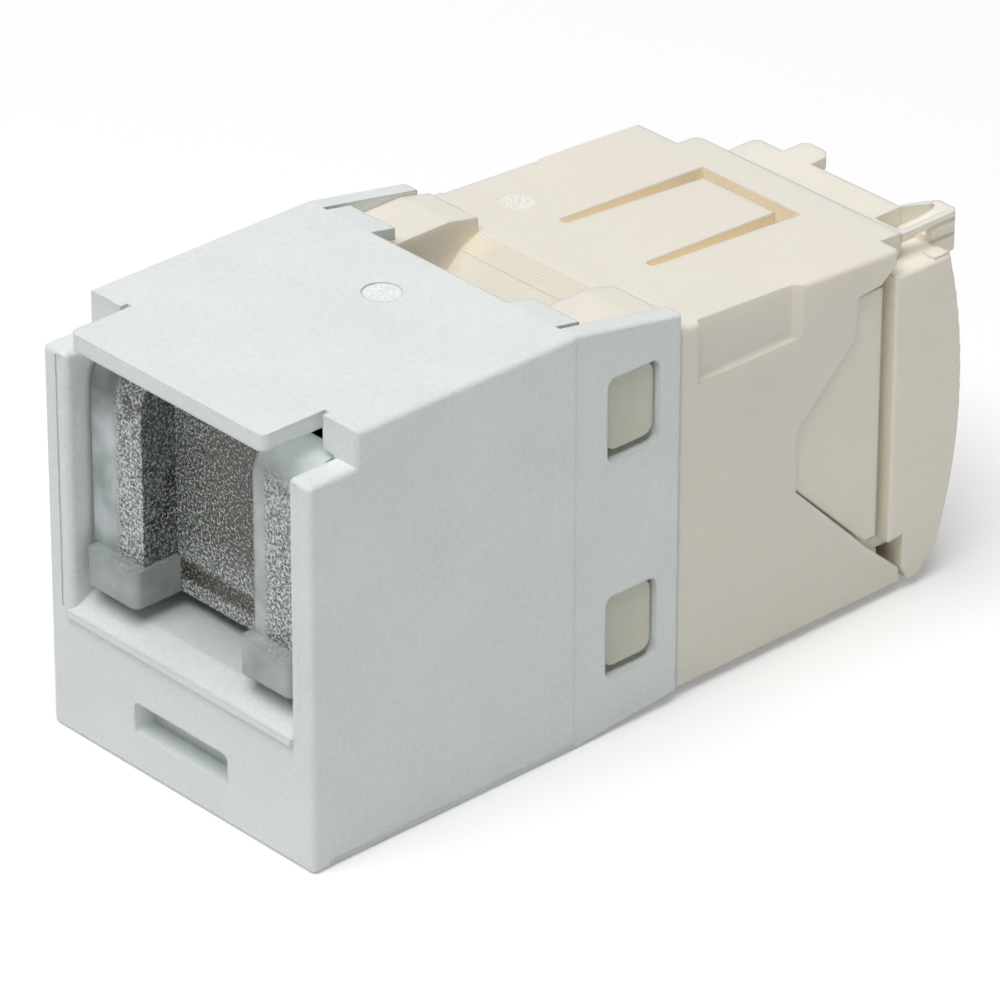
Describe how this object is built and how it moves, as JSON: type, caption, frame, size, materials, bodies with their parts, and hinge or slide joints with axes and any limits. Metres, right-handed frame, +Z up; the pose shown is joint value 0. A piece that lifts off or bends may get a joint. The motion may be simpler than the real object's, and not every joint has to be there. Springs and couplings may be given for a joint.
{
  "type": "keystone jack",
  "caption": "Keystone-style modular jack with a sprung clear shutter over the plug opening, sprung contacts inside and a slide-off wire cap at the back.",
  "frame": {"origin": "under the middle of the whole jack, on the plane of the front housing's bottom face", "axes": "+X to the right seen from the plug opening, +Y from the plug opening towards the cable, +Z up"},
  "size_m": [0.0164, 0.0384, 0.0196],
  "materials": {
    "white_plastic": "fine satin moulding",
    "cream_plastic": "fine satin moulding",
    "cap_plastic": "fine satin moulding",
    "block_plastic": "satin moulding",
    "clear_plastic": "clear, frosted in front",
    "black_plastic": "satin moulding",
    "board_laminate": "solder mask",
    "spring_steel": "drawn wire",
    "gold_contact": "gold plated",
    "tin_blade": "tin plated"
  },
  "bodies": {
    "housing": {"front_housing": "white_plastic", "rear_housing": "cream_plastic", "contact_carrier": "black_plastic", "circuit_board": "board_laminate", "idc_block": "block_plastic", "contact_1": "gold_contact", "contact_2": "gold_contact", "contact_3": "gold_contact", "contact_4": "gold_contact", "contact_5": "gold_contact", "contact_6": "gold_contact", "contact_7": "gold_contact", "contact_8": "gold_contact", "idc_contact_1": "tin_blade", "idc_contact_2": "tin_blade", "idc_contact_3": "tin_blade", "idc_contact_4": "tin_blade", "idc_contact_5": "tin_blade", "idc_contact_6": "tin_blade", "idc_contact_7": "tin_blade", "idc_contact_8": "tin_blade"},
    "shutter": {"shutter": "clear_plastic", "shutter_spring_left": "spring_steel", "shutter_spring_right": "spring_steel"},
    "wire_cap": {"wire_cap": "cap_plastic"}
  },
  "joints": [
    {"name": "shutter_hinge", "type": "hinge", "parent": "housing", "child": "shutter", "pos_m": [0, -0.016, 0.0162], "axis": [1, 0, 0], "range_deg": [0, 90], "stiffness_Nm_per_rad": 0.0003, "springref_deg": -22.92},
    {"name": "cap_slide", "type": "slide", "parent": "housing", "child": "wire_cap", "axis": [0, 1, 0], "range_m": [0, 0.01]}
  ]
}
